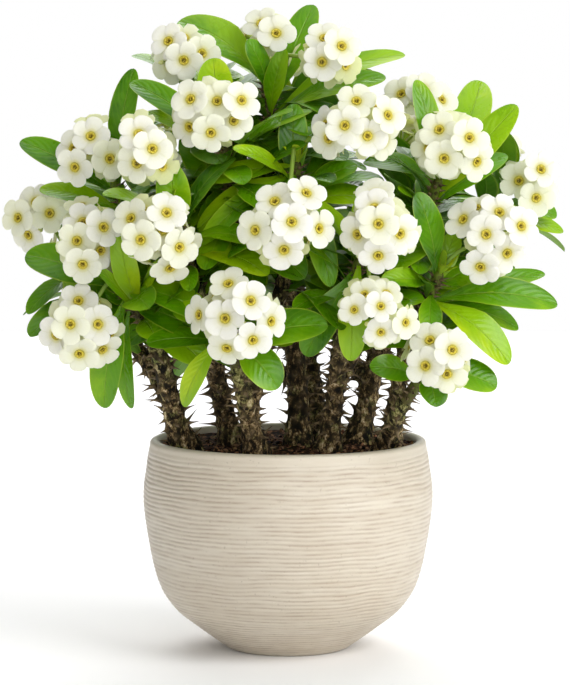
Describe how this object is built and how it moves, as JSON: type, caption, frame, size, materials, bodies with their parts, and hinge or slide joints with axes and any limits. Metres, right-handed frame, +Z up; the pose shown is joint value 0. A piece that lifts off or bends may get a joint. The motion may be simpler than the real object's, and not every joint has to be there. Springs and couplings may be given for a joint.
{
  "type": "crown of thorns plant",
  "caption": "Potted crown of thorns with thick spiny stems, leafy shoots and round heads of white five-lobed flowers, in a ribbed stoneware bowl pot",
  "frame": {"origin": "centre of the pot's flat foot, on the surface that the pot stands on", "axes": "+Z up along the pot's axis, -Y towards the side that the plant is looked at from, +X to the right from there"},
  "size_m": [0.4286, 0.3769, 0.488],
  "materials": {
    "stoneware": "matte",
    "soil": "matte",
    "bark": "matte",
    "leaf": "satin",
    "petal": "satin"
  },
  "bodies": {
    "root": {"pot": "stoneware", "soil": "soil", "stem_1": "bark", "stem_2": "bark", "stem_3": "bark", "stem_4": "bark", "stem_5": "bark", "stem_6": "bark", "stem_7": "bark", "stem_8": "bark", "leaves_s01": "leaf", "leaves_s02": "leaf", "leaves_s03": "leaf", "leaves_s04": "leaf", "leaves_s05": "leaf", "leaves_s06": "leaf", "leaves_s07": "leaf", "leaves_s08": "leaf", "leaves_s09": "leaf", "leaves_s10": "leaf", "leaves_s11": "leaf", "leaves_s12": "leaf", "leaves_s13": "leaf", "leaves_s14": "leaf", "leaves_s15": "leaf", "leaves_s16": "leaf", "leaves_s17": "leaf", "leaves_s18": "leaf", "leaves_s19": "leaf", "leaves_s20": "leaf", "flowers_a": "petal", "flowers_b": "petal", "flowers_c": "petal", "flowers_d": "petal", "flowers_e": "petal", "flowers_f": "petal", "flowers_g": "petal", "flowers_h": "petal", "flowers_i": "petal", "flowers_j": "petal", "flowers_k": "petal", "flowers_l": "petal", "flowers_m": "petal", "flowers_n": "petal", "flowers_o": "petal", "flowers_p": "petal", "flowers_q": "petal", "flowers_r": "petal", "flowers_s": "petal", "flowers_t": "petal", "flowers_u": "petal", "flowers_v1": "petal", "flowers_v2": "petal", "flowers_v3": "petal", "flowers_v4": "petal", "flowers_v5": "petal", "flowers_v6": "petal", "flowers_v7": "petal", "flowers_v8": "petal", "flowers_v9": "petal"}
  },
  "joints": []
}
